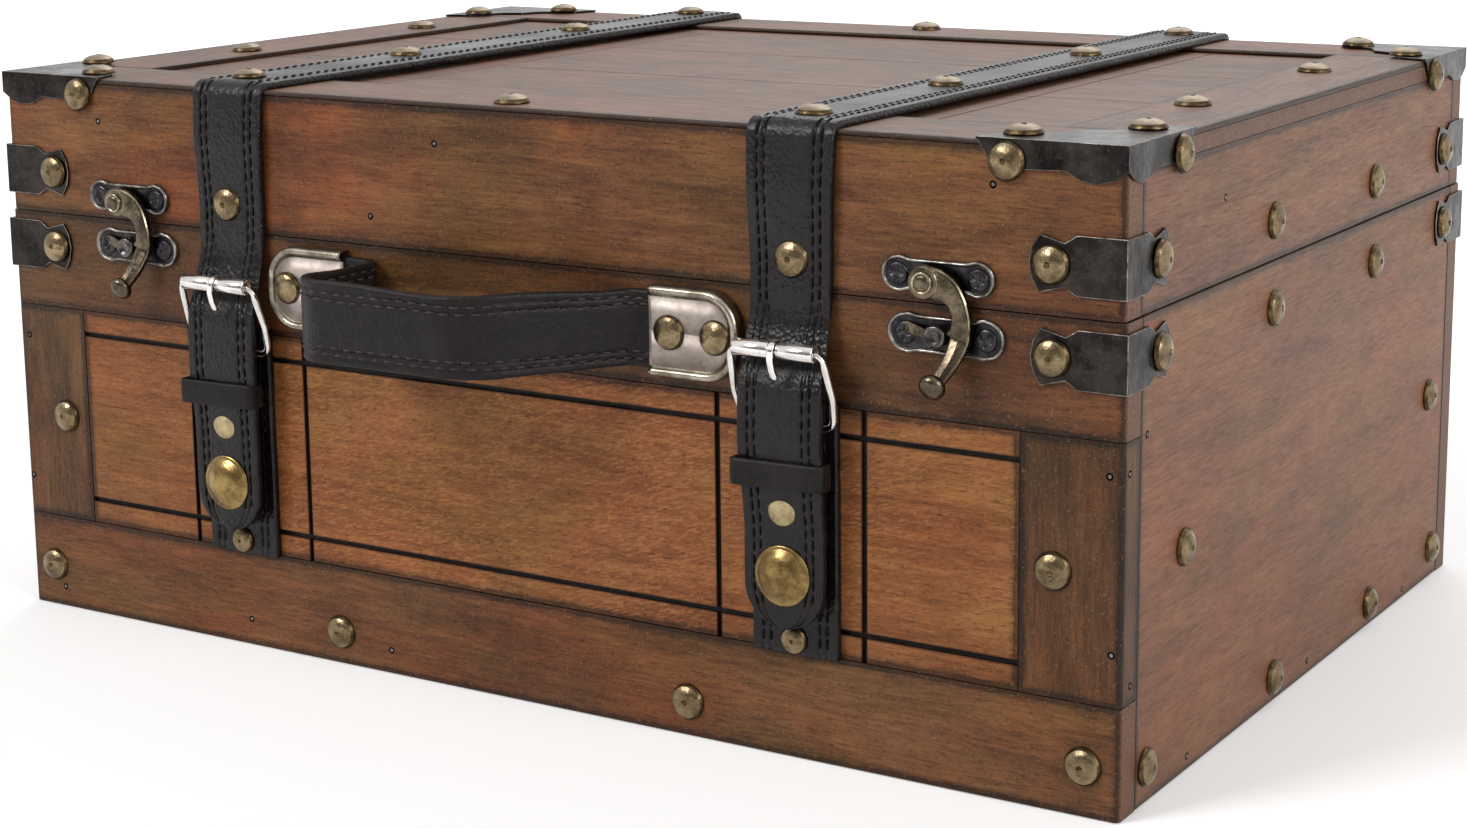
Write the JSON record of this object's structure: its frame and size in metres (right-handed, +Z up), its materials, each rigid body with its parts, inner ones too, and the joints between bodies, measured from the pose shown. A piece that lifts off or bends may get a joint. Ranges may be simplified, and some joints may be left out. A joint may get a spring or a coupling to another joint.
{
  "type": "wooden storage trunk",
  "caption": "Wooden storage trunk with a hinged lid, swing hooks, buckled leather straps, a leather carrying handle, metal corner brackets and domed nails.",
  "frame": {"origin": "centre of the underside of the box, at the face it rests on", "axes": "+X along the front to its right end, -Y out of the front with the latches, +Z up"},
  "size_m": [0.3666, 0.2921, 0.1665],
  "materials": {
    "frame_wood": "satin reddish brown stain",
    "panel_wood": "satin lighter orange brown stain",
    "leather": "near black pebbled, stitched",
    "old_brass": "antique with dark patina",
    "dark_iron": "dark gunmetal, worn edges",
    "bronze": "dull antique bronze",
    "pewter": "dull pewter",
    "nickel": "bright nickel",
    "steel": "dull",
    "black_screws": "black"
  },
  "bodies": {
    "body": {"front_panel": "panel_wood", "front_top_rail": "frame_wood", "front_bottom_rail": "frame_wood", "front_left_stile": "frame_wood", "front_right_stile": "frame_wood", "back_board": "frame_wood", "left_side_board": "frame_wood", "right_side_board": "frame_wood", "bottom_board": "frame_wood", "body_edge_brackets": "dark_iron", "body_dome_nails": "old_brass", "catch_plates": "bronze", "catch_screws": "black_screws", "left_handle_plate": "pewter", "right_handle_plate": "pewter", "handle_rivets": "pewter", "handle_strap": "leather", "left_base_strap": "leather", "right_base_strap": "leather", "snap_bases": "old_brass", "left_hinge_body_leaf": "steel", "right_hinge_body_leaf": "steel", "hinge_pins": "steel", "body_hinge_screws": "steel"},
    "lid": {"lid_front_board": "frame_wood", "lid_back_board": "frame_wood", "lid_left_board": "frame_wood", "lid_right_board": "frame_wood", "lid_planked_board": "frame_wood", "lid_front_strip": "frame_wood", "lid_back_strip": "frame_wood", "lid_left_strip": "frame_wood", "lid_right_strip": "frame_wood", "lid_corner_caps": "dark_iron", "lid_edge_brackets": "dark_iron", "lid_dome_nails": "old_brass", "hook_plates": "bronze", "hook_plate_screws": "black_screws", "hook_rivets": "bronze", "left_lid_strap": "leather", "right_lid_strap": "leather", "left_hinge_lid_leaf": "steel", "right_hinge_lid_leaf": "steel", "lid_hinge_screws": "steel"},
    "left_hook": {"left_hook": "bronze"},
    "right_hook": {"right_hook": "bronze"},
    "left_tail": {"left_strap_tail": "leather", "left_keeper": "leather", "left_buckle_frame": "nickel", "left_tail_rivet": "old_brass", "left_snap_cap": "old_brass"},
    "left_roller": {"left_roller_sleeves": "nickel"},
    "left_prong": {"left_prong": "nickel"},
    "right_tail": {"right_strap_tail": "leather", "right_keeper": "leather", "right_buckle_frame": "nickel", "right_tail_rivet": "old_brass", "right_snap_cap": "old_brass"},
    "right_roller": {"right_roller_sleeves": "nickel"},
    "right_prong": {"right_prong": "nickel"}
  },
  "joints": [
    {"name": "lid_hinge", "type": "hinge", "parent": "body", "child": "lid", "pos_m": [0, 0.1276, 0.1214], "axis": [-1, 0, 0], "range_deg": [0, 105]},
    {"name": "left_hook_swing", "type": "hinge", "parent": "lid", "child": "left_hook", "pos_m": [-0.1337, -0.1269, 0.1271], "axis": [0, -1, 0], "range_deg": [0, 100]},
    {"name": "right_hook_swing", "type": "hinge", "parent": "lid", "child": "right_hook", "pos_m": [0.1293, -0.1269, 0.1271], "axis": [0, -1, 0], "range_deg": [0, 100]},
    {"name": "left_strap_flex", "type": "hinge", "parent": "lid", "child": "left_tail", "pos_m": [-0.092, -0.12645, 0.115], "axis": [-1, 0, 0], "range_deg": [0, 95]},
    {"name": "left_roller_spin", "type": "hinge", "parent": "left_tail", "child": "left_roller", "pos_m": [-0.092, -0.13505, 0.1079], "axis": [1, 0, 0], "continuous": true},
    {"name": "left_prong_swing", "type": "hinge", "parent": "left_tail", "child": "left_prong", "pos_m": [-0.092, -0.13505, 0.1079], "axis": [-1, 0, 0], "range_deg": [0, 90]},
    {"name": "right_strap_flex", "type": "hinge", "parent": "lid", "child": "right_tail", "pos_m": [0.092, -0.12645, 0.115], "axis": [-1, 0, 0], "range_deg": [0, 95]},
    {"name": "right_roller_spin", "type": "hinge", "parent": "right_tail", "child": "right_roller", "pos_m": [0.092, -0.13505, 0.1079], "axis": [1, 0, 0], "continuous": true},
    {"name": "right_prong_swing", "type": "hinge", "parent": "right_tail", "child": "right_prong", "pos_m": [0.092, -0.13505, 0.1079], "axis": [-1, 0, 0], "range_deg": [0, 90]}
  ]
}
